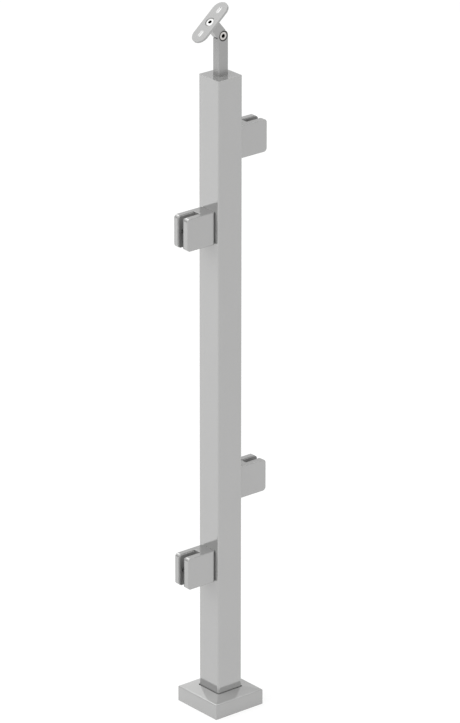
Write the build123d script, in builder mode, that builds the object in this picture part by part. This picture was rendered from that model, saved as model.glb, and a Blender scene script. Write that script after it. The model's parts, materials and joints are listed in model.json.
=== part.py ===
from build123d import *
import os
from math import cos, hypot, radians, sin

# A stair railing post in satin stainless steel, all lengths in millimetres.
# A square tube stands on a welded flange under a loose cover. Four clamps hold the
# glass, two low and two high, and a tilting saddle on a stem carries the handrail.
# +Z is up from the floor, +X points up the stairs, and -Y is the front.

os.makedirs("parts", exist_ok=True)

# Post tube
post_side = 40.0
post_wall = 2.0
post_corner = 2.5
post_inner_corner = 0.8
post_height = 884.0          # floor to the top of the cap

# Welded base flange
flange_side = 74.0
flange_thickness = 8.0
flange_corner = 4.0
weld_leg = 3.0
anchor_spacing = 56.0
anchor_hole_diameter = 9.0

# Base cover
cover_side = 80.0
cover_height = 20.0          # floor to the fold
cover_rise = 5.5             # fold to the opening for the post
cover_sheet = 1.2
cover_corner = 1.6           # outer radius of the upright corners
cover_fold = 0.8             # outer radius of the fold
cover_clearance = 0.8        # all round the post

# Top cap
cap_thickness = 3.0
cap_edge = 0.3
plug_depth = 12.0
plug_wall = 3.5
plug_clearance = 0.1
plug_corner = 1.5

# Handrail stem and its hinge
stem_width = 15.0
stem_depth = 12.0
stem_edge = 0.5
hinge_rise = 53.2            # cap to the hinge axis
ear_thickness = 3.0
lap_clearance = 0.1
cope_clearance = 0.2
hinge_swing = 45.0           # degrees each way from upright
rail_slope = 40.0            # degrees, the slope at which the saddle is set

# Handrail saddle
saddle_rise = 27.8           # hinge axis to the top of the plate
saddle_length = 65.0
saddle_width = 25.0
saddle_thickness = 3.0
saddle_edge = 0.4
saddle_slot_spacing = 39.0
saddle_slot_length = 10.0
saddle_slot_width = 5.0
saddle_clearance = 0.1

# Glass clamps
clamp_reach = 46.1
clamp_height = 44.5
clamp_thickness = 27.6
clamp_end_corner = 5.0
clamp_back_corner = 3.4
clamp_edge = 1.0
clamp_inner_edge = 0.5
slot_width = 12.4
slot_depth = 27.2
lower_left_height = 208.6
stair_step = 107.6           # right clamps above left clamps
highest_clamp_drop = 93.0    # top of the cap down to the middle of the highest clamp
jaw_screw_inset = 9.25       # from the top and bottom of the clamp to the jaw screws
jaw_screw_setback = 10.6     # from the post to the axes of the jaw screws

# Rubber gaskets
gasket_thickness = 2.2
gasket_margin = 0.8
gasket_corner = 3.0
pin_hole_diameter = 9.0
pin_hole_inset = 9.0         # from the outer end of the jaw
pin_thread_diameter = 5.0
pin_thread_depth = 5.0

# Screws and rivet nuts
screw_diameter = 6.0
tapped_clearance = 0.05      # radial
screw_clearance = 0.3        # radial, in plain holes
sink_diameter = 13.4
head_diameter = 11.3
head_rim = 0.4
head_clearance = 0.08
socket_width = 4.0
socket_depth = 2.2
hinge_screw_length = 10.0
saddle_screw_length = 14.0
jaw_screw_length = 16.0
mounting_screw_length = 25.0
cap_head_diameter = 10.0
cap_head_height = 6.0
cap_socket_width = 5.0
cap_socket_depth = 3.0
counterbore_clearance = 0.5
thread_runout = 1.0          # tapped holes are this much deeper than their screws
stem_screw_diameter = 8.0
stem_screw_length = 16.0
stem_head_diameter = 13.0
stem_head_height = 8.0
stem_socket_width = 6.0
stem_socket_depth = 4.0
nut_diameter = 9.0
nut_length = 13.0
nut_head_diameter = 11.0
nut_head_thickness = 0.6
nut_bulge_diameter = 12.0
nut_bulge_length = 4.0

# Places worked out from the sizes above
post_half = post_side / 2
tube_top = post_height - cap_thickness
hinge_height = post_height + hinge_rise
hinge_radius = stem_width / 2
ear_back = ear_thickness - stem_depth / 2
cope_radius = hinge_radius + cope_clearance
slot_floor = clamp_reach - slot_depth
jaw_plane = slot_width / 2
jaw_screw_spacing = clamp_height - 2 * jaw_screw_inset
tapped_radius = screw_diameter / 2 + tapped_clearance
plain_radius = screw_diameter / 2 + screw_clearance
head_recess = (sink_diameter - head_diameter) / 2 - head_rim - head_clearance
left, right = -1, 1
highest_clamp = post_height - highest_clamp_drop
clamp_spots = {
    "lower_left": (left, lower_left_height),
    "lower_right": (right, lower_left_height + stair_step),
    "upper_left": (left, highest_clamp - stair_step),
    "upper_right": (right, highest_clamp),
}

# The saddle leans back over the lower stairs, so the rail climbs towards +X.
along_rail = Vector(cos(radians(rail_slope)), 0, sin(radians(rail_slope)))
off_rail = Vector(-sin(radians(rail_slope)), 0, cos(radians(rail_slope)))
hinge_centre = Vector(0, 0, hinge_height)
stem_front = Plane(hinge_centre - Vector(0, stem_depth / 2, 0), x_dir=(1, 0, 0), z_dir=(0, -1, 0))
stem_lap = Plane(hinge_centre + Vector(0, ear_back, 0), x_dir=(1, 0, 0), z_dir=(0, -1, 0))
knuckle_middle = Plane(hinge_centre, x_dir=along_rail, z_dir=(0, -1, 0))
knuckle_lap = Plane(
    hinge_centre + Vector(0, ear_back + lap_clearance, 0), x_dir=along_rail, z_dir=(0, -1, 0),
)
saddle_top = Plane(hinge_centre + off_rail * saddle_rise, x_dir=along_rail, z_dir=off_rail)
knuckle_height = saddle_rise - saddle_thickness - saddle_clearance


def rounded_square(side, corner, mode=Mode.ADD):
    """A centred square outline with round corners, inside an open sketch."""
    return RectangleRounded(side, side, corner, mode=mode)


def cope(up):
    """Room for the other half of the hinge: its round end, and its flanks at full swing.

    It lies on the side of the axis that up gives, 1 or -1, inside an open sketch.
    """
    run, drop = cos(radians(hinge_swing)), sin(radians(hinge_swing))
    flank_x, flank_y = cope_radius * run, -up * cope_radius * drop
    wide_y = up * (stem_width * run - cope_radius) / drop
    Circle(cope_radius)
    Polygon(
        (flank_x, flank_y), (stem_width, wide_y), (stem_width, up * stem_width),
        (-stem_width, up * stem_width), (-stem_width, wide_y), (-flank_x, flank_y),
        align=None,
    )


def sink_past(depth):
    """Radius that the countersink still has this deep under its face."""
    return max(sink_diameter / 2 - depth, tapped_radius)


def countersunk_screw(length):
    """A countersunk socket screw: its face lies on XY and its shank points down."""
    head = head_diameter / 2
    shank = screw_diameter / 2
    with BuildPart() as screw:
        with BuildSketch(Plane.XZ):
            with BuildLine():
                Polyline(
                    (0, 0), (head, 0), (head, -head_rim), (shank, -head_rim - head + shank),
                    (shank, -length), (0, -length), close=True,
                )
            make_face()
        revolve(axis=Axis.Z)
        with BuildSketch():
            RegularPolygon(socket_width / 2, 6, major_radius=False)
        extrude(amount=-socket_depth, mode=Mode.SUBTRACT)
    return screw.part


def cap_screw(diameter, length, head, head_height, socket, depth):
    """A socket cap screw: the underside of its head lies on XY and its shank points down."""
    with BuildPart() as screw:
        with BuildSketch():
            Circle(head / 2)
        extrude(amount=head_height)
        with BuildSketch():
            Circle(diameter / 2)
        extrude(amount=-length)
        with BuildSketch(Plane.XY.offset(head_height)):
            RegularPolygon(socket / 2, 6, major_radius=False)
        extrude(amount=-depth, mode=Mode.SUBTRACT)
    return screw.part


# Post tube, with a hole through its wall for each rivet nut
with BuildPart() as post_tube:
    with BuildSketch(Plane.XY.offset(flange_thickness)):
        rounded_square(post_side, post_corner)
        rounded_square(post_side - 2 * post_wall, post_inner_corner, mode=Mode.SUBTRACT)
    extrude(amount=tube_top - flange_thickness)
    for side, height in clamp_spots.values():
        with Locations(Plane((side * post_half, 0, height), z_dir=(side, 0, 0))):
            Hole(nut_diameter / 2 + tapped_clearance, depth=2 * post_wall)
post_tube.part.label = "post_tube"
export_step(post_tube.part, "parts/post_tube.step")

# Base flange, with the weld bead that runs round the foot of the tube
with BuildPart() as base_flange:
    with BuildSketch():
        rounded_square(flange_side, flange_corner)
    extrude(amount=flange_thickness)
    with BuildSketch(Plane.XY.offset(flange_thickness)):
        rounded_square(post_side + 2 * weld_leg, post_corner + weld_leg)
    extrude(amount=weld_leg, taper=45)
    with BuildSketch(Plane.XY.offset(flange_thickness)):
        rounded_square(post_side, post_corner)
    extrude(amount=2 * weld_leg, mode=Mode.SUBTRACT)
    with Locations((0, 0, flange_thickness)):
        with GridLocations(anchor_spacing, anchor_spacing, 2, 2):
            Hole(anchor_hole_diameter / 2, depth=flange_thickness)
base_flange.part.label = "base_flange"
export_step(base_flange.part, "parts/base_flange.step")

# Base cover: a pressed square shell, open below, that slides on the post. Its top is a
# shallow pyramid, cut off where the post comes through.
cover_opening = post_side + 2 * cover_clearance
opening_corner = post_corner + cover_clearance
cover_peak = cover_height + cover_rise
top_slope = 2 * cover_rise / (cover_side - cover_opening)
sheet_drop = cover_sheet * hypot(1, top_slope)          # the sheet measured straight down
inner_fold = cover_height + cover_sheet * top_slope - sheet_drop
with BuildPart() as base_cover:
    with BuildSketch():
        rounded_square(cover_side, cover_corner)
    extrude(amount=cover_height)
    with BuildSketch(Plane.XY.offset(cover_height)):
        rounded_square(cover_side, cover_corner)
    with BuildSketch(Plane.XY.offset(cover_peak)):
        rounded_square(cover_opening, opening_corner)
    loft(ruled=True)
    fold_edges = base_cover.edges().filter_by_position(Axis.Z, cover_height, cover_height)
    fillet(fold_edges, cover_fold)
    with BuildSketch():
        rounded_square(cover_side - 2 * cover_sheet, cover_corner - cover_sheet)
    extrude(amount=inner_fold, mode=Mode.SUBTRACT)
    with BuildSketch(Plane.XY.offset(inner_fold)):
        rounded_square(cover_side - 2 * cover_sheet, cover_corner - cover_sheet)
    with BuildSketch(Plane.XY.offset(cover_peak - sheet_drop)):
        rounded_square(cover_opening, opening_corner)
    loft(ruled=True, mode=Mode.SUBTRACT)
    with BuildSketch(Plane.XY.offset(inner_fold)):
        rounded_square(cover_opening, opening_corner)
    extrude(amount=cover_peak - inner_fold, mode=Mode.SUBTRACT)
base_cover.part.label = "base_cover"
export_step(base_cover.part, "parts/base_cover.step")

# Top cap: a flush plate with a hollow plug that is driven into the tube
with BuildPart() as top_cap:
    with BuildSketch(Plane.XY.offset(tube_top)):
        rounded_square(post_side, post_corner)
    extrude(amount=cap_thickness)
    fillet(top_cap.edges().group_by(Axis.Z)[-1], cap_edge)
    plug_side = post_side - 2 * (post_wall + plug_clearance)
    with BuildSketch(Plane.XY.offset(tube_top)):
        rounded_square(plug_side, plug_corner)
        rounded_square(plug_side - 2 * plug_wall, plug_corner, mode=Mode.SUBTRACT)
    extrude(amount=-plug_depth)
    with Locations((0, 0, post_height)):
        Hole(stem_screw_diameter / 2 + screw_clearance, depth=cap_thickness + plug_depth)
top_cap.part.label = "top_cap"
export_step(top_cap.part, "parts/top_cap.step")

# Handrail stem: a flat bar with a thin round-topped ear in front of the hinge
with BuildPart() as handrail_stem:
    with BuildSketch(stem_front):
        with BuildLine():
            Polyline(
                (hinge_radius, 0), (hinge_radius, -hinge_rise),
                (-hinge_radius, -hinge_rise), (-hinge_radius, 0),
            )
            CenterArc((0, 0), hinge_radius, 0, 180)
        make_face()
    extrude(amount=-stem_depth)
    fillet(handrail_stem.edges().filter_by(Axis.Z), stem_edge)
    with BuildSketch(stem_lap):
        cope(up=1)
    extrude(amount=-stem_depth, mode=Mode.SUBTRACT)
    with Locations(stem_front):
        CounterSinkHole(plain_radius, sink_diameter / 2, depth=ear_thickness, counter_sink_angle=90)
    with Locations(Plane((0, 0, post_height), z_dir=(0, 0, -1))):
        Hole(
            stem_screw_diameter / 2 + tapped_clearance,
            depth=stem_screw_length + thread_runout - cap_thickness,
        )
handrail_stem.part.label = "handrail_stem"
export_step(handrail_stem.part, "parts/handrail_stem.step")

# Stem screw: holds the stem from below, through the cap
stem_screw_form = cap_screw(
    stem_screw_diameter, stem_screw_length, stem_head_diameter,
    stem_head_height, stem_socket_width, stem_socket_depth,
)
with BuildPart() as stem_screw:
    with Locations(Plane((0, 0, tube_top), z_dir=(0, 0, -1))):
        add(stem_screw_form)
stem_screw.part.label = "stem_screw"
export_step(stem_screw.part, "parts/stem_screw.step")

# Bracket knuckle: its tongue turns behind the ear, and its shoulder is coped round it
with BuildPart() as bracket_knuckle:
    with BuildSketch(knuckle_middle):
        with BuildLine():
            Polyline(
                (hinge_radius, 0), (hinge_radius, knuckle_height),
                (-hinge_radius, knuckle_height), (-hinge_radius, 0),
            )
            CenterArc((0, 0), hinge_radius, 180, 180)
        make_face()
    extrude(amount=stem_depth / 2, both=True)
    fillet(bracket_knuckle.edges().filter_by(Axis((0, 0, 0), off_rail)), stem_edge)
    with BuildSketch(knuckle_lap):
        cope(up=-1)
    extrude(amount=stem_depth, mode=Mode.SUBTRACT)
    with Locations(knuckle_lap):
        CounterSinkHole(
            tapped_radius, sink_past(ear_thickness + lap_clearance),
            depth=stem_depth, counter_sink_angle=90,
        )
    with Locations(saddle_top.offset(-saddle_thickness - saddle_clearance)):
        CounterSinkHole(
            tapped_radius, sink_past(saddle_thickness + saddle_clearance),
            depth=saddle_screw_length, counter_sink_angle=90,
        )
bracket_knuckle.part.label = "bracket_knuckle"
export_step(bracket_knuckle.part, "parts/bracket_knuckle.step")

# Hinge screw: its head turns in the ear and its thread holds in the tongue
hinge_screw_form = countersunk_screw(hinge_screw_length)
with BuildPart() as hinge_screw:
    with Locations(stem_front.offset(-head_recess)):
        add(hinge_screw_form)
hinge_screw.part.label = "hinge_screw"
export_step(hinge_screw.part, "parts/hinge_screw.step")

# Saddle plate: a stadium with a slot at each end for the handrail's screws
with BuildPart() as saddle_plate:
    with BuildSketch(saddle_top):
        SlotOverall(saddle_length, saddle_width)
    extrude(amount=-saddle_thickness)
    rims = saddle_plate.faces().filter_by(Axis((0, 0, 0), off_rail)).edges()
    fillet(rims, saddle_edge)
    with BuildSketch(saddle_top):
        with Locations((-saddle_slot_spacing / 2, 0), (saddle_slot_spacing / 2, 0)):
            SlotOverall(saddle_slot_length, saddle_slot_width)
    extrude(amount=-saddle_thickness, mode=Mode.SUBTRACT)
    with Locations(saddle_top):
        CounterSinkHole(
            plain_radius, sink_diameter / 2, depth=saddle_thickness, counter_sink_angle=90,
        )
saddle_plate.part.label = "saddle_plate"
export_step(saddle_plate.part, "parts/saddle_plate.step")

# Saddle screw: the plate turns under its head until it is tight
saddle_screw_form = countersunk_screw(saddle_screw_length)
with BuildPart() as saddle_screw:
    with Locations(saddle_top.offset(-head_recess)):
        add(saddle_screw_form)
saddle_screw.part.label = "saddle_screw"
export_step(saddle_screw.part, "parts/saddle_screw.step")

# Glass clamp, drawn with the post's face on YZ, the slot opening to +X and the jaw at +Y
half_thickness = clamp_thickness / 2
with BuildPart() as clamp_form:
    with BuildSketch() as clamp_outline:
        with Locations((clamp_reach / 2, 0)):
            Rectangle(clamp_reach, clamp_thickness)
        fillet(clamp_outline.vertices().group_by(Axis.X)[0], clamp_back_corner)
        with Locations((clamp_reach - slot_depth / 2, 0)):
            Rectangle(slot_depth, slot_width, mode=Mode.SUBTRACT)
    extrude(amount=clamp_height / 2, both=True)
    fillet(clamp_form.edges().filter_by(Axis.Y).group_by(Axis.X)[-1], clamp_end_corner)
    side_faces = clamp_form.faces().filter_by(Axis.Y).group_by(Axis.Y)
    side_rims = [
        edge for edge in side_faces[0].edges() + side_faces[-1].edges()
        if edge.center().X > clamp_back_corner + clamp_edge
    ]
    fillet(side_rims, clamp_edge)
    slot_faces = clamp_form.faces().filter_by(Axis.Y).group_by(Axis.Y)[1:3]
    slot_rims = [
        edge for faces in slot_faces for edge in faces.edges()
        if edge.center().X > slot_floor + clamp_inner_edge
    ]
    floor_rims = clamp_form.faces().filter_by(Axis.X).sort_by(
        lambda face: abs(face.center().X - slot_floor)
    )[0].edges().filter_by(Axis.Y)
    fillet(slot_rims + floor_rims, clamp_inner_edge)
    counterbore_depth = cap_head_height + counterbore_clearance
    with Locations(Plane((slot_floor, 0, 0), z_dir=(1, 0, 0))):
        CounterBoreHole(
            plain_radius, cap_head_diameter / 2 + counterbore_clearance,
            counterbore_depth, depth=slot_floor,
        )
    with Locations(Plane((0, 0, 0), z_dir=(-1, 0, 0))):
        Hole(nut_head_diameter / 2 + screw_clearance, depth=nut_head_thickness)

# Clamp body: the base and the front jaw in one piece
with BuildPart() as body_form:
    add(clamp_form.part)
    split(bisect_by=Plane.XZ.offset(-jaw_plane), keep=Keep.TOP)
    with Locations(Plane((jaw_screw_setback, jaw_plane, 0), x_dir=(0, 0, 1), z_dir=(0, 1, 0))):
        with Locations((-jaw_screw_spacing / 2, 0), (jaw_screw_spacing / 2, 0)):
            Hole(tapped_radius, depth=jaw_screw_length + thread_runout + jaw_plane - half_thickness)

# Clamp jaw: the removable rear plate
with BuildPart() as jaw_form:
    add(clamp_form.part)
    split(bisect_by=Plane.XZ.offset(-jaw_plane), keep=Keep.BOTTOM)
    with Locations(Plane((jaw_screw_setback, half_thickness, 0), x_dir=(0, 0, 1), z_dir=(0, 1, 0))):
        with Locations((-jaw_screw_spacing / 2, 0), (jaw_screw_spacing / 2, 0)):
            CounterSinkHole(
                plain_radius, sink_diameter / 2,
                depth=half_thickness - jaw_plane, counter_sink_angle=90,
            )
    with Locations(Plane((clamp_reach - pin_hole_inset, jaw_plane, 0), z_dir=(0, -1, 0))):
        Hole(pin_thread_diameter / 2, depth=pin_thread_depth)

# Gasket: a flat rubber pad on the inside of a jaw, with a round hole for a safety pin
gasket_length = slot_depth - gasket_margin
with BuildPart() as gasket_form:
    with BuildSketch(Plane.XZ):
        with Locations((slot_floor + gasket_length / 2, 0)):
            RectangleRounded(gasket_length, clamp_height - 2 * gasket_margin, gasket_corner)
        with Locations((clamp_reach - pin_hole_inset, 0)):
            Circle(pin_hole_diameter / 2, mode=Mode.SUBTRACT)
    extrude(amount=gasket_thickness)

# Rivet nut: clinched in the post's wall, with its flange let into the back of the clamp
with BuildPart() as nut_form:
    with BuildSketch():
        with BuildLine():
            Polyline(
                (nut_head_thickness, tapped_radius), (nut_head_thickness, nut_head_diameter / 2),
                (0, nut_head_diameter / 2), (0, nut_diameter / 2),
                (-post_wall, nut_diameter / 2), (-post_wall, nut_bulge_diameter / 2),
                (-post_wall - nut_bulge_length, nut_diameter / 2), (-nut_length, nut_diameter / 2),
                (-nut_length, tapped_radius), close=True,
            )
        make_face()
    revolve(axis=Axis.X)

mounting_screw_form = cap_screw(
    screw_diameter, mounting_screw_length, cap_head_diameter,
    cap_head_height, cap_socket_width, cap_socket_depth,
)
jaw_screw_form = countersunk_screw(jaw_screw_length)
head_seat = Location(Plane((slot_floor - counterbore_depth, 0, 0), z_dir=(1, 0, 0)))

# One set of clamp pieces at each spot; those on the left are turned over about Y
for spot, (side, height) in clamp_spots.items():
    turn = 0 if side == right else 180
    clamp_place = Location((side * post_half, 0, height), (0, turn, 0))

    with BuildPart() as clamp_body:
        with Locations(clamp_place):
            add(body_form.part)
    clamp_body.part.label = f"{spot}_clamp_body"
    export_step(clamp_body.part, f"parts/{spot}_clamp_body.step")

    with BuildPart() as clamp_jaw:
        with Locations(clamp_place):
            add(jaw_form.part)
    clamp_jaw.part.label = f"{spot}_clamp_jaw"
    export_step(clamp_jaw.part, f"parts/{spot}_clamp_jaw.step")

    with BuildPart() as front_gasket:
        with Locations(clamp_place * Pos(0, gasket_thickness - jaw_plane, 0)):
            add(gasket_form.part)
    front_gasket.part.label = f"{spot}_front_gasket"
    export_step(front_gasket.part, f"parts/{spot}_front_gasket.step")

    with BuildPart() as rear_gasket:
        with Locations(clamp_place * Pos(0, jaw_plane, 0)):
            add(gasket_form.part)
    rear_gasket.part.label = f"{spot}_rear_gasket"
    export_step(rear_gasket.part, f"parts/{spot}_rear_gasket.step")

    with BuildPart() as rivet_nut:
        with Locations(clamp_place):
            add(nut_form.part)
    rivet_nut.part.label = f"{spot}_rivet_nut"
    export_step(rivet_nut.part, f"parts/{spot}_rivet_nut.step")

    with BuildPart() as mounting_screw:
        with Locations(clamp_place * head_seat):
            add(mounting_screw_form)
    mounting_screw.part.label = f"{spot}_mounting_screw"
    export_step(mounting_screw.part, f"parts/{spot}_mounting_screw.step")

    for level, step in (("upper", 1), ("lower", -1)):
        screw_centre = (
            side * (post_half + jaw_screw_setback), half_thickness - head_recess,
            height + step * jaw_screw_spacing / 2,
        )
        with BuildPart() as jaw_screw:
            with Locations(Plane(screw_centre, z_dir=(0, 1, 0))):
                add(jaw_screw_form)
        jaw_screw.part.label = f"{spot}_{level}_jaw_screw"
        export_step(jaw_screw.part, f"parts/{spot}_{level}_jaw_screw.step")
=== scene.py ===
"""Looks for a stair railing post: satin steel, rubber pads, threaded screws, and a pale studio."""

import json
from math import cos, pi, radians, sin, tan, tau

import bmesh
import bpy
from bpy.props import FloatProperty, FloatVectorProperty, IntProperty, PointerProperty
from bpy.types import Operator, Panel, PropertyGroup
from mathutils import Matrix, Vector


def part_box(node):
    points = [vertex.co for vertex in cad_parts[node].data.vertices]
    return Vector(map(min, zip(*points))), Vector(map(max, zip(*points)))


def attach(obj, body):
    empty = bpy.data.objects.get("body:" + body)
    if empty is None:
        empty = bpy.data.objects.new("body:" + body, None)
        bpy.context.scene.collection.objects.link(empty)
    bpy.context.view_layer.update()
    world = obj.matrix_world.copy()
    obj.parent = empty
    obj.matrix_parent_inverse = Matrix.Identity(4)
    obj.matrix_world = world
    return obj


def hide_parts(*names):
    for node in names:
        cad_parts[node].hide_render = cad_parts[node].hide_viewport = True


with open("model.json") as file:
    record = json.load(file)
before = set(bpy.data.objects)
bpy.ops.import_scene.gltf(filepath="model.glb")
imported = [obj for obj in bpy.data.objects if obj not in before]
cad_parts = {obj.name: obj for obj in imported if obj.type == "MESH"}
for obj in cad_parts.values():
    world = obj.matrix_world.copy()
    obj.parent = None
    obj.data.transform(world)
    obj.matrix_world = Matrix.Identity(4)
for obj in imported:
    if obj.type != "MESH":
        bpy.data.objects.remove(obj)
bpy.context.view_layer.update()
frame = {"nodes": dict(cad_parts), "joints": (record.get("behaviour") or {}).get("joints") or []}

bl_info = {
    "name": "Stair Railing Post",
    "version": (1, 0, 0),
    "blender": (4, 5, 0),
    "location": "View3D > Sidebar > Stair Post",
    "description": "Finishes, screws, weld and studio for a stair railing post",
    "category": "Object",
}

MM = 0.001
SPOTS = ("lower_left", "lower_right", "upper_left", "upper_right")
JOINTS = {joint["name"]: joint for joint in frame["joints"]}

# Rows of faces in a screw's mesh, counted from the floor of its socket.
SOCKET_ROWS = (0, 1)
HEAD_EDGE_ROWS = (3, 4, 5)             # a countersunk head outside its flat face

# The steel's faint mottle, and the depth of marks with no direction next to that of ground ones.
MOTTLE_CELL = (45 * MM, 45 * MM, 70 * MM)
UNDIRECTED_DEPTH = 0.2

# The painted shade rings at the bracket's two countersunk holes, dark where the gap round each
# head lies in shade, from and to a distance from its axis.
HINGE_SHADE_RING = (5.2 * MM, 7.0 * MM)
SADDLE_SHADE_RING = (5.7 * MM, 6.6 * MM)

# The saddle's slots, whose walls get painted light, near white. The half width takes in the walls,
# which stand at 2.5 mm.
SLOT_FROM_MIDDLE = 19.5 * MM
SLOT_HALF_STRAIGHT = 2.5 * MM
SLOT_HALF_WIDTH = 2.6 * MM

# The weld bead's path round the tube, and how deep its back lies in the tube and the flange.
WELD_CORNER_RADIUS = 2.5 * MM
WELD_SIDE_STEPS = 72
WELD_CORNER_STEPS = 10
WELD_SECTION_STEPS = 8
WELD_SUNK = 0.1 * MM

# The air that the steel mirrors is bright on the view's left and dim on its right. Each edge is
# a part of a direction: where the bright side ends and the dim one starts, and where the dark
# band starts and is full.
RIGHT_OF_VIEW = (0.771, -0.636, 0)
BRIGHT_END, DIM_START = -0.14, -0.02
BAND_EDGES = (("X", -0.2, -0.35), ("Y", 0.2, 0.4), ("Z", 0.5, 0.42))

# The lamps hang round a point, each in a direction and at a distance from it.
LAMP_TARGET = Vector((0, 0, 0.5))
KEY_PLACE = ((-0.75, 0.24, 0.62), 3.4)
FILL_PLACE = ((0.589, -0.11, 0.8), 3.6)
RIM_PLACE = ((0.07, 0.715, 0.7), 3.6)


class SteelFinish(PropertyGroup):
    """The satin ground stainless steel of the post, clamps and bracket."""

    colour: FloatVectorProperty(
        name="Colour", description="Colour of the ground steel", subtype="COLOR",
        size=3, min=0, max=1, default=(0.505, 0.505, 0.501),
    )
    mirror_share: FloatProperty(
        name="Mirror Share", description="Share of the light that the steel mirrors, not scatters",
        subtype="FACTOR", min=0, max=1, default=0.6,
    )
    roughness: FloatProperty(
        name="Roughness", description="How far the steel blurs what it mirrors",
        subtype="FACTOR", min=0, max=1, default=0.1,
    )
    roughness_swing: FloatProperty(
        name="Roughness Swing", description="How much the grinding marks change the roughness",
        subtype="FACTOR", min=0, max=1, default=0.015,
    )
    mark_spacing: FloatProperty(
        name="Mark Spacing", description="Distance between two grinding marks", unit="LENGTH",
        min=0.00005, max=0.01, default=0.4 * MM, precision=5,
    )
    mark_length: FloatProperty(
        name="Mark Length", description="Length of a grinding mark", unit="LENGTH",
        min=0.0001, max=0.5, default=30 * MM, precision=4,
    )
    mark_depth: FloatProperty(
        name="Mark Depth", description="Depth of the grinding marks", unit="LENGTH",
        min=0, max=0.001, default=0.0012 * MM, precision=6,
    )


class ScrewFinish(PropertyGroup):
    """The bright screws, and the sizes of their threads and sockets."""

    colour: FloatVectorProperty(
        name="Colour", description="Colour of the polished heads", subtype="COLOR",
        size=3, min=0, max=1, default=(0.92, 0.92, 0.91),
    )
    roughness: FloatProperty(
        name="Roughness", description="How far the heads blur what they mirror", subtype="FACTOR",
        min=0, max=1, default=0.2,
    )
    small_pitch: FloatProperty(
        name="Small Pitch", description="Thread pitch of the 6 mm screws", unit="LENGTH",
        min=0.0002, max=0.003, default=1.0 * MM, precision=5,
    )
    large_pitch: FloatProperty(
        name="Large Pitch", description="Thread pitch of the 8 mm screw", unit="LENGTH",
        min=0.0002, max=0.003, default=1.25 * MM, precision=5,
    )
    thread_depth: FloatProperty(
        name="Thread Depth", description="Depth of the thread as a share of its pitch",
        subtype="FACTOR", min=0, max=1, default=0.55,
    )
    segments: IntProperty(
        name="Segments", description="Steps round a screw, a multiple of six",
        min=12, max=96, step=6, default=36,
    )


class RubberFinish(PropertyGroup):
    """The dark rubber pads that grip the glass."""

    colour: FloatVectorProperty(
        name="Colour", description="Colour of the rubber", subtype="COLOR",
        size=3, min=0, max=1, default=(0.3, 0.3, 0.297),
    )
    roughness: FloatProperty(
        name="Roughness", description="How matt the rubber is", subtype="FACTOR",
        min=0, max=1, default=0.55,
    )


class WeldSizes(PropertyGroup):
    """The weld bead round the foot of the tube."""

    leg: FloatProperty(
        name="Leg", description="How far the bead reaches up the tube and out on the flange",
        unit="LENGTH", min=0.0005, max=0.01, default=3.2 * MM, precision=4,
    )
    bulge: FloatProperty(
        name="Bulge", description="How far the bead swells past a straight bevel", unit="LENGTH",
        min=0, max=0.003, default=0.55 * MM, precision=5,
    )
    ripple_spacing: FloatProperty(
        name="Ripple Spacing", description="Distance between two ripples of the bead",
        unit="LENGTH", min=0.0005, max=0.01, default=1.8 * MM, precision=4,
    )


class CoverSizes(PropertyGroup):
    """The pressed base cover: a low pyramid on four upright sides, open for the tube."""

    fold_height: FloatProperty(
        name="Fold Height",
        description="Height where the sides and the top would meet in a sharp fold",
        unit="LENGTH", min=0.005, max=0.1, default=21.2 * MM, precision=4,
    )
    slope: FloatProperty(
        name="Slope", description="Angle at which the top rises to the tube", subtype="ANGLE",
        min=0, max=radians(60), default=radians(10.7),
    )
    fold_radius: FloatProperty(
        name="Fold Radius", description="Radius of the pressed fold", unit="LENGTH",
        min=0.0002, max=0.01, default=2.0 * MM, precision=4,
    )
    corner_radius: FloatProperty(
        name="Corner Radius", description="Radius of the four upright corners", unit="LENGTH",
        min=0.0001, max=0.01, default=0.6 * MM, precision=4,
    )
    mouth_radius: FloatProperty(
        name="Mouth Radius", description="Radius of the corners of the opening", unit="LENGTH",
        min=0.0001, max=0.01, default=2.4 * MM, precision=4,
    )
    clearance: FloatProperty(
        name="Clearance", description="Gap between the tube and the opening", unit="LENGTH",
        min=0.0001, max=0.005, default=1.2 * MM, precision=4,
    )
    sheet: FloatProperty(
        name="Sheet", description="Thickness of the pressed sheet", unit="LENGTH",
        min=0.0003, max=0.005, default=1.2 * MM, precision=4,
    )


class StudioSettings(PropertyGroup):
    """The floor, the background and the lamps."""

    floor_width: FloatProperty(
        name="Floor Width", description="Width of the square floor", unit="LENGTH",
        min=1, max=200, default=60,
    )
    bright_side: FloatProperty(
        name="Bright Side", description="Level of the air that the steel mirrors on the left",
        subtype="FACTOR", min=0, max=2, default=1.1,
    )
    dim_side: FloatProperty(
        name="Dim Side", description="Level of the air that the steel mirrors on the right",
        subtype="FACTOR", min=0, max=2, default=0.72,
    )
    horizon_level: FloatProperty(
        name="Horizon Level",
        description="Level of the dark band that the steel mirrors, low at the back left",
        subtype="FACTOR", min=0, max=2, default=0.38,
    )
    shadow_share: FloatProperty(
        name="Shadow Share",
        description="Share of the floor's colour that lamps and shadows change",
        subtype="FACTOR", min=0, max=1, default=0.25,
    )
    air_level: FloatProperty(
        name="Air Level", description="Strength of the even light from all round",
        min=0, max=5, default=0.82,
    )
    key_power: FloatProperty(
        name="Key Power", description="Power of the main lamp, on the left",
        unit="POWER", min=0, max=5000, default=57,
    )
    fill_power: FloatProperty(
        name="Fill Power", description="Power of the weaker lamp on the right",
        unit="POWER", min=0, max=5000, default=3,
    )
    rim_power: FloatProperty(
        name="Rim Power", description="Power of the lamp behind, which lights the rims",
        unit="POWER", min=0, max=5000, default=4,
    )
    key_width: FloatProperty(
        name="Key Width", description="Width of the square main lamp", unit="LENGTH",
        min=0.1, max=10, default=3.0,
    )
    small_width: FloatProperty(
        name="Small Width", description="Width of the two other square lamps", unit="LENGTH",
        min=0.1, max=10, default=0.8,
    )


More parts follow.
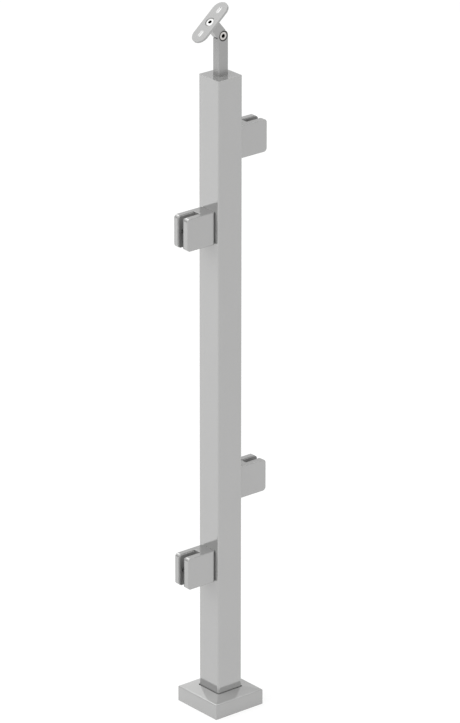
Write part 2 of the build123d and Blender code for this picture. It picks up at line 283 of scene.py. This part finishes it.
class CameraSettings(PropertyGroup):
    """Where the camera stands."""

    target: FloatVectorProperty(
        name="Target", description="Point at the middle of the picture", subtype="TRANSLATION",
        unit="LENGTH", size=3, default=(0.0160343, 0.0, 0.4854342), precision=5,
    )
    azimuth: FloatProperty(
        name="Azimuth", description="Turn of the camera round the post, from straight in front",
        subtype="ANGLE", default=radians(-39.5186),
    )
    elevation: FloatProperty(
        name="Elevation", description="Angle from which the camera looks down", subtype="ANGLE",
        default=radians(22.0967),
    )
    roll: FloatProperty(
        name="Roll", description="Turn of the camera about its own line of sight", subtype="ANGLE",
        default=radians(0.0523),
    )
    distance: FloatProperty(
        name="Distance", description="From the camera to the target", unit="LENGTH", min=0.1,
        default=7.2602,
    )
    focal_length: FloatProperty(
        name="Focal Length", description="Focal length in millimetres on a 36 mm sensor",
        unit="CAMERA", min=1, max=1000, default=277.63,
    )


def settings(name):
    """The scene's own copy of one group of sizes and colours."""
    return getattr(bpy.context.scene, name)


class NodeBench:
    """A material or world's node tree, with short ways to add and join nodes."""

    def __init__(self, owner):
        owner.use_nodes = True
        self.tree = owner.node_tree
        self.tree.nodes.clear()

    def add(self, kind, attributes=None, **inputs):
        """A new node. An underscore in the name of an input stands for a space."""
        node = self.tree.nodes.new(kind)
        for key, value in (attributes or {}).items():
            setattr(node, key, value)
        for key, value in inputs.items():
            self.feed(node.inputs[key.replace("_", " ")], value)
        return node

    def feed(self, socket, value):
        """Joins a socket to another, or sets it to a value."""
        if isinstance(value, bpy.types.NodeSocket):
            self.tree.links.new(value, socket)
        else:
            socket.default_value = value


def stretched_noise(bench, cell, detail=3.0):
    """Noise from 0 to 1, in cells of the given sizes along X, Y and Z, in metres."""
    place = bench.add("ShaderNodeTexCoord").outputs["Object"]
    scaled = bench.add("ShaderNodeMapping", Vector=place, Scale=[1 / size for size in cell])
    noise = bench.add(
        "ShaderNodeTexNoise", Vector=scaled.outputs["Vector"],
        Scale=1.0, Detail=detail, Roughness=0.6,
    )
    return noise.outputs["Fac"]


def spread(bench, value, low, high):
    """The value from 0 to 1, mapped onto low to high."""
    mapped = bench.add("ShaderNodeMapRange", Value=value)
    bench.feed(mapped.inputs["To Min"], low)
    bench.feed(mapped.inputs["To Max"], high)
    return mapped.outputs["Result"]


def maths(bench, operation, *values):
    """A sum, product or other step on numbers."""
    node = bench.add("ShaderNodeMath", {"operation": operation})
    for socket, value in zip(node.inputs, values):
        bench.feed(socket, value)
    return node.outputs["Value"]


def vector_maths(bench, operation, output, *values):
    """A step on vectors, whose "Vector" or "Value" is given back."""
    node = bench.add("ShaderNodeVectorMath", {"operation": operation})
    for socket, value in zip(node.inputs, values):
        bench.feed(socket, value)
    return node.outputs[output]


def scaled_colour(bench, colour, factor):
    """A colour times a factor that varies over the surface."""
    tint = bench.add("ShaderNodeVectorMath", {"operation": "SCALE"}, Scale=factor)
    tint.inputs[0].default_value = tuple(colour)
    return tint.outputs["Vector"]


def place_from(bench, centre):
    """Where a point of the surface lies, seen from a centre."""
    place = bench.add("ShaderNodeTexCoord").outputs["Object"]
    return vector_maths(bench, "SUBTRACT", "Vector", place, tuple(centre))


def painted_shade_ring(bench, centre, axis, inner, outer, tone):
    """1 all over, and a painted shade factor between two distances from an axis."""
    across = vector_maths(bench, "CROSS_PRODUCT", "Vector", place_from(bench, centre), tuple(axis))
    distance = vector_maths(bench, "LENGTH", "Value", across)
    inside = maths(bench, "COMPARE", distance, (inner + outer) / 2, (outer - inner) / 2)
    return spread(bench, inside, 1, tone)


def painted_light_slots(bench, centre, along, tone):
    """1 all over, and a painted light factor on the walls of the saddle's two slots, which lie
    along an axis.
    """
    off = place_from(bench, centre)
    run = vector_maths(bench, "DOT_PRODUCT", "Value", off, tuple(along))
    from_slot = maths(bench, "SUBTRACT", maths(bench, "ABSOLUTE", run), SLOT_FROM_MIDDLE)
    past_middle = maths(bench, "ABSOLUTE", from_slot)
    past_end = maths(bench, "SUBTRACT", past_middle, SLOT_HALF_STRAIGHT)
    past_straight = maths(bench, "MAXIMUM", past_end, 0.0)
    sideways = vector_maths(bench, "DOT_PRODUCT", "Value", off, (0, 1, 0))
    squares = [maths(bench, "MULTIPLY", part, part) for part in (past_straight, sideways)]
    distance = maths(bench, "SQRT", maths(bench, "ADD", *squares))
    inside = maths(bench, "LESS_THAN", distance, SLOT_HALF_WIDTH)
    return spread(bench, inside, 1, tone)


def steel_material(
    name, colour, roughness, swing, cell, depth, cloud=0.02, mirror_share=1.0, painted_light_tones=(),
):
    """Steel with fine marks, each as large as a cell along X, Y and Z, over a faint mottle.

    cloud is how far the mottle changes the colour. Each of the painted_light_tones takes the
    bench and gives one more factor on the colour, a painted shade or painted light.
    """
    steel = bpy.data.materials.new(name)
    bench = NodeBench(steel)
    marks = stretched_noise(bench, cell)
    mottle = stretched_noise(bench, MOTTLE_CELL, detail=2.0)
    shade = spread(bench, mottle, 1 - cloud, 1 + cloud)
    for tone in painted_light_tones:
        shade = maths(bench, "MULTIPLY", shade, tone(bench))
    bump = bench.add("ShaderNodeBump", Height=marks, Strength=1.0, Distance=depth)
    shader = bench.add(
        "ShaderNodeBsdfPrincipled",
        Base_Color=scaled_colour(bench, colour, shade),
        Metallic=mirror_share,
        Roughness=spread(bench, marks, roughness - swing, roughness + swing),
        Normal=bump.outputs["Normal"],
    )
    bench.add("ShaderNodeOutputMaterial", Surface=shader.outputs["BSDF"])
    return steel


def ground_steel(name, along, shade=1.0, extra_roughness=0.0, mirror_share=None, painted_light_tones=()):
    """The satin steel, ground along "X", "Y" or "Z", or None for marks with no direction."""
    finish = settings("post_steel")
    if mirror_share is None:
        mirror_share = finish.mirror_share
    cell = [finish.mark_length if axis == along else finish.mark_spacing for axis in "XYZ"]
    return steel_material(
        name, [shade * part for part in finish.colour], finish.roughness + extra_roughness,
        finish.roughness_swing, cell, finish.mark_depth * (1 if along else UNDIRECTED_DEPTH),
        mirror_share=mirror_share, painted_light_tones=painted_light_tones,
    )


def plain_steel(name, colour, roughness):
    """Steel of the small parts, with fine marks that have no direction, made once."""
    made = bpy.data.materials.get(name)
    if made:
        return made
    return steel_material(
        name, colour, roughness, swing=0.04, cell=(1.2 * MM,) * 3, depth=0.002 * MM, cloud=0.04,
    )


def bright_steel():
    """The polished steel of the screws."""
    finish = settings("post_screws")
    return plain_steel("steel_bright", finish.colour, finish.roughness)


def rubber_material():
    """Dark moulded rubber with a faint grain and a dusty sheen."""
    finish = settings("post_rubber")
    rubber = bpy.data.materials.new("moulded_rubber")
    bench = NodeBench(rubber)
    grain = stretched_noise(bench, (0.6 * MM,) * 3)
    dust = stretched_noise(bench, (9 * MM,) * 3)
    bump = bench.add("ShaderNodeBump", Height=grain, Strength=1.0, Distance=0.03 * MM)
    shader = bench.add(
        "ShaderNodeBsdfPrincipled",
        Base_Color=scaled_colour(bench, finish.colour, spread(bench, dust, 0.8, 1.25)),
        Roughness=spread(bench, grain, finish.roughness - 0.08, finish.roughness + 0.08),
        Normal=bump.outputs["Normal"],
        Sheen_Weight=0.1,
    )
    bench.add("ShaderNodeOutputMaterial", Surface=shader.outputs["BSDF"])
    return rubber


def weld_material():
    """The bead's own steel, rougher and a little straw coloured from the heat."""
    finish = settings("post_steel")
    weld = bpy.data.materials.new("weld_steel")
    bench = NodeBench(weld)
    heat = stretched_noise(bench, (6 * MM,) * 3)
    grey = [0.85 * part for part in finish.colour]
    straw = (0.46, 0.39, 0.3)
    tint = bench.add("ShaderNodeMix", {"data_type": "RGBA"})
    bench.feed(tint.inputs["Factor"], spread(bench, heat, 0.1, 0.9))
    tint.inputs["A"].default_value = (*grey, 1)
    tint.inputs["B"].default_value = (*straw, 1)
    shader = bench.add(
        "ShaderNodeBsdfPrincipled",
        Base_Color=tint.outputs["Result"],
        Metallic=1.0,
        Roughness=spread(bench, heat, 0.3, 0.5),
    )
    bench.add("ShaderNodeOutputMaterial", Surface=shader.outputs["BSDF"])
    return weld


def dress(node_names, material):
    """Gives CAD nodes one material."""
    for node_name in node_names:
        mesh = frame["nodes"][node_name].data
        mesh.materials.clear()
        mesh.materials.append(material)


def aimed(origin, outward):
    """A place at origin whose +Z points outward."""
    turn = Vector(outward).to_track_quat("Z", "X").to_matrix().to_4x4()
    return Matrix.Translation(origin) @ turn


def placed(name, data):
    """A new object in the scene."""
    thing = bpy.data.objects.new(name, data)
    bpy.context.scene.collection.objects.link(thing)
    return thing


def new_piece(name, mesh, material, body, crease=35):
    """Puts a mesh in the scene as a piece that rides on a body.

    It is shaded smooth, apart from folds of more degrees than the crease.
    """
    mesh.polygons.foreach_set("use_smooth", [True] * len(mesh.polygons))
    mesh.set_sharp_from_angle(angle=radians(crease))
    mesh.materials.append(material)
    piece = placed(name, mesh)
    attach(piece, body)
    return piece


def join_loops(shape, loop, after):
    """A band of faces from one loop of points to the next."""
    for step in range(len(loop)):
        beside = (step + 1) % len(loop)
        shape.faces.new((loop[step], loop[beside], after[beside], after[step]))


def close_loop(shape, loop):
    """Faces from a loop of points to one at its middle."""
    middle = shape.verts.new(sum((vertex.co for vertex in loop), Vector()) / len(loop))
    for step in range(len(loop)):
        shape.faces.new((loop[step], loop[(step + 1) % len(loop)], middle))


def closed_mesh(name, shape):
    """The mesh of a closed shape, with its faces turned outward."""
    bmesh.ops.recalc_face_normals(shape, faces=shape.faces)
    mesh = bpy.data.meshes.new(name)
    shape.to_mesh(mesh)
    shape.free()
    return mesh


def ringed_mesh(name, rings, place):
    """A closed mesh from rings of points, with both its ends closed."""
    shape = bmesh.new()
    loops = [[shape.verts.new(place @ Vector(point)) for point in ring] for ring in rings]
    for loop, after in zip(loops, loops[1:]):
        join_loops(shape, loop, after)
    for loop in (loops[0], loops[-1]):
        close_loop(shape, loop)
    return closed_mesh(name, shape)


def hoop_mesh(name, rings):
    """A closed hoop from rings of points, each joined to the next and the last to the first."""
    shape = bmesh.new()
    loops = [[shape.verts.new(point) for point in ring] for ring in rings]
    for index, loop in enumerate(loops):
        join_loops(shape, loop, loops[(index + 1) % len(loops)])
    return closed_mesh(name, shape)


def rounded_square(half, corner, height, steps=6):
    """Points round a level square with rounded corners."""
    points = []
    middle = half - corner
    for side, (x_side, y_side) in enumerate(((1, 1), (-1, 1), (-1, -1), (1, -1))):
        for step in range(steps + 1):
            angle = pi / 2 * (side + step / steps)
            points.append((
                middle * x_side + corner * cos(angle),
                middle * y_side + corner * sin(angle),
                height,
            ))
    return points


def hex_radius(angle, half_width):
    """Distance from the middle of a hexagonal socket to its wall, at an angle."""
    sector = pi / 3
    return half_width / cos((angle + sector / 2) % sector - sector / 2)


def thread_radius(angle, height, pitch, shank, depth):
    """Distance from the axis of a shank to its thread, at an angle and height."""
    phase = (height / pitch - angle / tau) % 1
    return shank - depth * abs(2 * phase - 1)


def screw_rings(profile, shank, length, pitch, socket_half, socket_depth):
    """Rings of a socket screw, from its socket's floor over the head and down its threaded shank.

    profile holds (radius, height) for the head, from the mouth of its socket to the shank.
    """
    finish = settings("post_screws")
    angles = [tau * step / finish.segments for step in range(finish.segments)]

    def ring(height, radii):
        return [(radius * cos(a), radius * sin(a), height) for radius, a in zip(radii, angles)]

    face, mouth_bevel = profile[0][1], 0.25 * MM
    socket_wall = [hex_radius(a, socket_half) for a in angles]
    rings = [ring(face - socket_depth, socket_wall), ring(face - mouth_bevel, socket_wall)]
    rings += [ring(height, [radius] * len(angles)) for radius, height in profile]

    start, tip_bevel = profile[-1][1], 0.8 * MM
    depth = finish.thread_depth * pitch
    rings_per_turn = 6
    step_height = pitch / rings_per_turn
    steps = int((start + length - tip_bevel) / step_height)
    for step in range(1, steps + 1):
        height = start - step * step_height
        cut = min(1, step / rings_per_turn) * depth
        rings.append(ring(height, [thread_radius(a, height, pitch, shank, cut) for a in angles]))
    rings.append(ring(-length, [shank - depth] * len(angles)))
    return rings


def add_screw(node_name, body, place, rings, material, edge_material=None):
    """A threaded screw that stands for a plain CAD one.

    Its socket gets a painted shade, near black, and the edge of its head may have a material of
    its own.
    """
    mesh = ringed_mesh(f"{node_name}_threaded", rings, place)
    piece = new_piece(f"{node_name}_threaded", mesh, material, body)
    # Painted shade: the socket's faces are near black.
    mesh.materials.append(plain_steel("steel_socket_shade", (0.012, 0.012, 0.012), 0.45))
    mesh.materials.append(edge_material or material)
    socket_floor = len(rings) - 1
    for face in mesh.polygons:
        row = face.index // len(rings[0])
        if row in SOCKET_ROWS or row == socket_floor:
            face.material_index = 1
        elif row in HEAD_EDGE_ROWS:
            face.material_index = 2
    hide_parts(node_name)


def countersunk_rings(length):
    """A 6 mm countersunk screw with a 4 mm socket."""
    head, shank, rim, edge = 5.65 * MM, 3 * MM, 0.55 * MM, 0.4 * MM
    mouth, socket_half, socket_depth = 2.7 * MM, 2 * MM, 2.2 * MM
    profile = [
        (mouth, 0), (head - edge, 0), (head, -edge), (head, -rim), (shank, -rim - head + shank),
    ]
    pitch = settings("post_screws").small_pitch
    return screw_rings(profile, shank, length, pitch, socket_half, socket_depth)


def cap_rings(head, head_height, shank, length, pitch, socket_half, socket_depth):
    """A cap screw whose head stands on the place it is given."""
    edge = 0.5 * MM
    mouth = socket_half * 1.22         # a little more than the socket's corners, at 1.155
    profile = [
        (mouth, head_height), (head - edge, head_height), (head, head_height - edge),
        (head, 0), (shank, 0),
    ]
    return screw_rings(profile, shank, length, pitch, socket_half, socket_depth)


class POST_OT_tube_and_base(Operator):
    """Give the tube, cap and flange their ground steel."""

    bl_idname = "stair_post.tube_and_base"
    bl_label = "Tube and Base"

    def execute(self, context):
        dress(["post_tube"], ground_steel("steel_ground_upright", "Z"))
        dress(["top_cap"], ground_steel("steel_ground_level", "X"))
        dress(["base_flange"], ground_steel("steel_rolled", None, shade=0.9, extra_roughness=0.12))
        return {"FINISHED"}


class POST_OT_weld_bead(Operator):
    """Lay a rippled weld bead round the foot of the tube."""

    bl_idname = "stair_post.weld_bead"
    bl_label = "Weld Bead"

    def execute(self, context):
        weld = settings("post_weld")
        low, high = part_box("post_tube")
        path = self.path_round(high.x, low.z)
        travelled = 0.0
        rings = []
        for index, (point, outward) in enumerate(path):
            travelled += (point - path[index - 1][0]).length if index else 0.0
            rings.append(self.section(weld, point, outward, travelled / weld.ripple_spacing))
        mesh = hoop_mesh("weld_bead", rings)
        new_piece("weld_bead", mesh, weld_material(), "post", crease=60)
        return {"FINISHED"}

    def path_round(self, half, foot):
        """Points round the tube's foot, each with the direction straight away from the tube."""
        straight = half - WELD_CORNER_RADIUS
        path = []
        for side in range(4):
            turn = Matrix.Rotation(side * pi / 2, 3, "Z")
            for step in range(WELD_SIDE_STEPS):
                run = -straight + 2 * straight * step / WELD_SIDE_STEPS
                path.append((turn @ Vector((half, run, foot)), turn @ Vector((1, 0, 0))))
            for step in range(WELD_CORNER_STEPS):
                bend = pi / 2 * step / WELD_CORNER_STEPS
                outward = Vector((cos(bend), sin(bend), 0))
                corner = Vector((straight, straight, foot)) + outward * WELD_CORNER_RADIUS
                path.append((turn @ corner, turn @ outward))
        return path

    def section(self, weld, point, outward, ripples):
        """Points across the bead: its back in the corner, then from the flange up to the tube."""
        wave_lag = wave_share = 0.35
        ring = [point - outward * WELD_SUNK - Vector((0, 0, WELD_SUNK))]
        for step in range(WELD_SECTION_STEPS + 1):
            share = step / WELD_SECTION_STEPS
            wave = cos(tau * (ripples - wave_lag * sin(pi * share)))
            swell = weld.bulge * (1 + wave_share * wave) * sin(pi * share)
            out = weld.leg * (1 - share) + swell
            up = weld.leg * share + swell
            ring.append(point + outward * out + Vector((0, 0, up)))
        return ring


class POST_OT_pressed_cover(Operator):
    """Press the sheet cover over the post's foot."""

    bl_idname = "stair_post.pressed_cover"
    bl_label = "Pressed Cover"

    def execute(self, context):
        cover = settings("post_cover")
        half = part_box("base_cover")[1].x
        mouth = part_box("post_tube")[1].x + cover.clearance
        outside = self.skin(cover, half, mouth, cover.fold_height, cover.fold_radius)
        inner_fold = cover.fold_height - cover.sheet * (1 / cos(cover.slope) - tan(cover.slope))
        inner_radius = cover.fold_radius - cover.sheet
        inside = self.skin(cover, half - cover.sheet, mouth, inner_fold, inner_radius)
        mesh = hoop_mesh("base_cover_pressed", outside + inside[::-1])
        steel = ground_steel("steel_ground_cover", "X", mirror_share=0.5)
        piece = new_piece("base_cover_pressed", mesh, steel, "cover", crease=20)
        mesh.materials.append(plain_steel("steel_cover_inside_shade", (0.1, 0.1, 0.1), 0.5))
        # The inside's rows, from the lip of the opening down to the foot, get a painted shade,
        # near black, for the gap round the tube.
        mouth_row, foot_row = len(outside) - 1, len(outside) + len(inside) - 1
        for face in mesh.polygons:
            row = face.index // len(outside[0])
            face.material_index = 1 if mouth_row <= row < foot_row else 0
        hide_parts("base_cover")
        return {"FINISHED"}

    def skin(self, cover, half, mouth, fold_height, fold_radius):
        """Rings up one side of the sheet, from the floor over the fold to the opening."""
        steps = 8
        lean = pi / 2 - cover.slope
        rise = fold_height - fold_radius * tan(lean / 2)
        rings = [rounded_square(half, cover.corner_radius, height) for height in (0, rise)]
        for step in range(1, steps + 1):
            turn = lean * step / steps
            drawn_in, up = fold_radius * (1 - cos(turn)), fold_radius * sin(turn)
            rings.append(rounded_square(half - drawn_in, cover.corner_radius, rise + up))
        top = fold_height + (half - mouth) * tan(cover.slope)
        rings.append(rounded_square(mouth, cover.mouth_radius, top))
        return rings


class POST_OT_handrail_bracket(Operator):
    """Give the stem, knuckle and saddle plate their steel, and cut the threads of their screws."""

    bl_idname = "stair_post.handrail_bracket"
    bl_label = "Handrail Bracket"

    def execute(self, context):
        self.finish_hinge()
        bright = bright_steel()
        self.finish_saddle(bright)
        self.add_stem_screw(bright)
        return {"FINISHED"}

    def finish_hinge(self):
        tilt = JOINTS["bracket_tilt"]
        hinge = Vector(tilt["pos_m"])
        # Painted shade: a dark ring round the hinge screw's head, where the countersink's gap lies
        # in shade.
        dress(["handrail_stem"], ground_steel(
            "steel_ground_stem", "Z", shade=0.8, extra_roughness=0.24, mirror_share=0.7,
            painted_light_tones=[lambda bench: painted_shade_ring(bench, hinge, tilt["axis"], *HINGE_SHADE_RING, 0.25)],
        ))
        dress(["bracket_knuckle"], ground_steel(
            "steel_ground_knuckle", "Z", shade=0.79, extra_roughness=0.2, mirror_share=0.85,
        ))
        turned = plain_steel("steel_turned", (0.6, 0.58, 0.56), 0.3)
        # Painted shade: the hinge screw's head edge, dark as the gap round it in shade.
        head_gap_shade = plain_steel("steel_head_gap_shade", (0.1, 0.098, 0.095), 0.4)
        head_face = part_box("hinge_screw")[0].y
        place = aimed((hinge.x, head_face, hinge.z), (0, -1, 0))
        add_screw("hinge_screw", "knuckle", place, countersunk_rings(10 * MM), turned, head_gap_shade)

    def finish_saddle(self, bright):
        swivel = JOINTS["saddle_swivel"]
        centre = Vector(swivel["pos_m"])
        outward = Vector(swivel["axis"]).normalized()
        along = outward.cross(Vector((0, -1, 0)))
        dress(["saddle_plate"], ground_steel(
            "steel_ground_plate", None, shade=0.93, extra_roughness=0.06,
            painted_light_tones=[
                # Painted shade: a thin dark ring round the saddle screw's head.
                lambda bench: painted_shade_ring(bench, centre, outward, *SADDLE_SHADE_RING, 0.62),
                # Painted light: the slot walls lightened towards white.
                lambda bench: painted_light_slots(bench, centre, along, 2.0),
            ],
        ))
        sunk = 0.57 * MM
        place = aimed(centre - outward * sunk, outward)
        add_screw("saddle_screw", "knuckle", place, countersunk_rings(14 * MM), bright)

    def add_stem_screw(self, bright):
        head_height = 8 * MM
        rings = cap_rings(
            head=6.5 * MM, head_height=head_height, shank=4 * MM, length=16 * MM,
            pitch=settings("post_screws").large_pitch, socket_half=3 * MM, socket_depth=4 * MM,
        )
        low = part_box("stem_screw")[0]
        place = aimed((0, 0, low.z + head_height), (0, 0, -1))
        add_screw("stem_screw", "post", place, rings, bright)


class POST_OT_glass_clamps(Operator):
    """Give the clamps their steel, and cut the threads of the screws that hold them."""

    bl_idname = "stair_post.glass_clamps"
    bl_label = "Glass Clamps"

    def execute(self, context):
        steel = ground_steel("steel_ground_clamp", "Z", shade=0.97)
        nut_steel = plain_steel("steel_plated", (0.5, 0.5, 0.48), 0.35)
        bright = bright_steel()
        for spot in SPOTS:
            dress([f"{spot}_clamp_body", f"{spot}_clamp_jaw"], steel)
            dress([f"{spot}_rivet_nut"], nut_steel)
            self.add_jaw_screws(spot, bright)
            self.add_mounting_screw(spot, bright)
        return {"FINISHED"}

    def add_jaw_screws(self, spot, steel):
        for level in ("upper", "lower"):
            node_name = f"{spot}_{level}_jaw_screw"
            low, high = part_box(node_name)
            middle = (low + high) / 2
            place = aimed((middle.x, high.y, middle.z), (0, 1, 0))
            add_screw(node_name, "post", place, countersunk_rings(high.y - low.y), steel)

    def add_mounting_screw(self, spot, steel):
        node_name = f"{spot}_mounting_screw"
        low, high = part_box(node_name)
        side = -1 if high.x < 0 else 1
        head_height = 6 * MM
        outer = high.x if side > 0 else low.x
        middle = (low + high) / 2
        place = aimed((outer - side * head_height, middle.y, middle.z), (side, 0, 0))
        rings = cap_rings(
            head=5 * MM, head_height=head_height, shank=3 * MM,
            length=high.x - low.x - head_height,
            pitch=settings("post_screws").small_pitch, socket_half=2.5 * MM, socket_depth=3 * MM,
        )
        add_screw(node_name, "post", place, rings, steel)


class POST_OT_gaskets(Operator):
    """Give the eight gaskets their rubber."""

    bl_idname = "stair_post.gaskets"
    bl_label = "Gaskets"

    def execute(self, context):
        gaskets = [f"{spot}_{side}_gasket" for spot in SPOTS for side in ("front", "rear")]
        dress(gaskets, rubber_material())
        return {"FINISHED"}


def seen_directly(bench):
    """1 on rays that come from the camera, a mirror or glass, and 0 on the rest."""
    path = bench.add("ShaderNodeLightPath")
    seen = path.outputs["Is Camera Ray"]
    for other in ("Is Glossy Ray", "Is Transmission Ray"):
        seen = maths(bench, "MAXIMUM", seen, path.outputs[other])
    return seen


def smooth_step(bench, value, start, end, low=0.0, high=1.0):
    """low before start and high after end, with a smooth change between them."""
    step = bench.add(
        "ShaderNodeMapRange", {"interpolation_type": "SMOOTHSTEP"},
        Value=value, From_Min=start, From_Max=end, To_Min=low, To_Max=high,
    )
    return step.outputs["Result"]


def floor_material():
    """A white floor with a faint shadow."""
    studio = settings("post_studio")
    floor = bpy.data.materials.new("studio_floor")
    bench = NodeBench(floor)
    diffuse = bench.add("ShaderNodeBsdfDiffuse", Color=(*[studio.shadow_share] * 3, 1))
    unlit = 1 - studio.shadow_share * studio.air_level
    strength = maths(bench, "MULTIPLY", seen_directly(bench), unlit)
    glow = bench.add("ShaderNodeEmission", Color=(1, 1, 1, 1), Strength=strength)
    both = bench.add("ShaderNodeAddShader")
    bench.feed(both.inputs[0], diffuse.outputs["BSDF"])
    bench.feed(both.inputs[1], glow.outputs["Emission"])
    bench.add("ShaderNodeOutputMaterial", Surface=both.outputs["Shader"])
    return floor


class POST_OT_studio(Operator):
    """Set up the pale floor, the white background and the soft lamps."""

    bl_idname = "stair_post.studio"
    bl_label = "Studio"

    def execute(self, context):
        studio = settings("post_studio")
        self.lay_floor(studio)
        self.light_world(studio)
        key = self.hang_lamp("key_lamp", KEY_PLACE, studio.key_power, studio.key_width)
        key.visible_glossy = False     # flat steel would mirror it as a white glare
        self.hang_lamp("fill_lamp", FILL_PLACE, studio.fill_power, studio.small_width)
        self.hang_lamp("rim_lamp", RIM_PLACE, studio.rim_power, studio.small_width)
        context.scene.view_settings.view_transform = "Standard"
        return {"FINISHED"}

    def lay_floor(self, studio):
        half = studio.floor_width / 2
        mesh = bpy.data.meshes.new("studio_floor")
        corners = [(-half, -half, 0), (half, -half, 0), (half, half, 0), (-half, half, 0)]
        mesh.from_pydata(corners, [], [(0, 1, 2, 3)])
        mesh.materials.append(floor_material())
        floor = placed("studio_floor", mesh)

    def light_world(self, studio):
        """Even light on the object, and levels of their own for what it mirrors."""
        world = bpy.data.worlds.new("studio_air")
        bpy.context.scene.world = world
        bench = NodeBench(world)
        air = bench.add("ShaderNodeBackground", Color=(1, 1, 1, 1), Strength=studio.air_level)
        direction = bench.add("ShaderNodeTexCoord").outputs["Generated"]
        across = vector_maths(bench, "DOT_PRODUCT", "Value", direction, RIGHT_OF_VIEW)
        side = smooth_step(
            bench, across, BRIGHT_END, DIM_START, studio.bright_side, studio.dim_side,
        )
        band = self.horizon_band(bench, direction, studio.horizon_level)
        path = bench.add("ShaderNodeLightPath")
        mirrored = maths(bench, "MULTIPLY", side, band)
        # The camera sees plain white, at a strength of 1.
        level = maths(bench, "MAXIMUM", mirrored, path.outputs["Is Camera Ray"])
        white = bench.add("ShaderNodeBackground", Color=(1, 1, 1, 1), Strength=level)
        mixed = bench.add("ShaderNodeMixShader", Fac=seen_directly(bench))
        bench.feed(mixed.inputs[1], air.outputs["Background"])
        bench.feed(mixed.inputs[2], white.outputs["Background"])
        bench.add("ShaderNodeOutputWorld", Surface=mixed.outputs["Shader"])

    def horizon_band(self, bench, direction, level):
        """1 all over, and the band's level low down behind the post on the left."""
        parts = bench.add("ShaderNodeSeparateXYZ", Vector=direction)
        inside = 1.0
        for axis, start, full in BAND_EDGES:
            part = smooth_step(bench, parts.outputs[axis], start, full)
            inside = maths(bench, "MULTIPLY", inside, part)
        return spread(bench, inside, 1, level)

    def hang_lamp(self, name, lamp_place, power, width):
        """A square lamp that faces the post, unseen by the camera."""
        direction, distance = lamp_place
        lamp = bpy.data.lights.new(name, "AREA")
        lamp.energy = power
        lamp.size = width
        holder = placed(name, lamp)
        spot = LAMP_TARGET + Vector(direction).normalized() * distance
        holder.matrix_world = aimed(spot, direction)
        holder.visible_camera = False
        return holder


class POST_OT_camera(Operator):
    """Stand the camera at the photograph's viewing angle."""

    bl_idname = "stair_post.camera"
    bl_label = "Camera"

    def execute(self, context):
        view = settings("post_camera")
        level = cos(view.elevation)
        back = Vector((sin(view.azimuth) * level, -cos(view.azimuth) * level, sin(view.elevation)))
        right = Vector((cos(view.azimuth), sin(view.azimuth), 0))
        facing = Matrix((right, back.cross(right), back)).transposed().to_4x4()
        lens = bpy.data.cameras.new("camera")
        lens.lens = view.focal_length
        lens.clip_end = 200
        camera = placed("camera", lens)
        place = Matrix.Translation(Vector(view.target) + back * view.distance)
        camera.matrix_world = place @ facing @ Matrix.Rotation(view.roll, 4, "Z")
        context.scene.camera = camera
        return {"FINISHED"}


class POST_PT_panel(Panel):
    """The sidebar's list of finishes, sizes and steps."""

    bl_label = "Stair Railing Post"
    bl_idname = "POST_PT_panel"
    bl_space_type = "VIEW_3D"
    bl_region_type = "UI"
    bl_category = "Stair Post"

    def draw(self, context):
        layout = self.layout
        for name, group in GROUPS.items():
            box = layout.box()
            box.label(text=group.__doc__.rstrip("."))
            for prop in group.__annotations__:
                box.prop(getattr(context.scene, name), prop)
        for operator in OPERATORS:
            layout.operator(operator.bl_idname)


GROUPS = {
    "post_steel": SteelFinish,
    "post_screws": ScrewFinish,
    "post_rubber": RubberFinish,
    "post_weld": WeldSizes,
    "post_cover": CoverSizes,
    "post_studio": StudioSettings,
    "post_camera": CameraSettings,
}
OPERATORS = (
    POST_OT_tube_and_base,
    POST_OT_weld_bead,
    POST_OT_pressed_cover,
    POST_OT_handrail_bracket,
    POST_OT_glass_clamps,
    POST_OT_gaskets,
    POST_OT_studio,
    POST_OT_camera,
)


def register():
    for group in (*GROUPS.values(), *OPERATORS, POST_PT_panel):
        bpy.utils.register_class(group)
    for name, group in GROUPS.items():
        setattr(bpy.types.Scene, name, PointerProperty(type=group))


def unregister():
    for name in GROUPS:
        delattr(bpy.types.Scene, name)
    for group in reversed((*GROUPS.values(), *OPERATORS, POST_PT_panel)):
        bpy.utils.unregister_class(group)


def main():
    register()
    bpy.ops.stair_post.tube_and_base()
    bpy.ops.stair_post.weld_bead()
    bpy.ops.stair_post.pressed_cover()
    bpy.ops.stair_post.handrail_bracket()
    bpy.ops.stair_post.glass_clamps()
    bpy.ops.stair_post.gaskets()
    bpy.ops.stair_post.studio()
    bpy.ops.stair_post.camera()


if __name__ == "__main__":
    main()
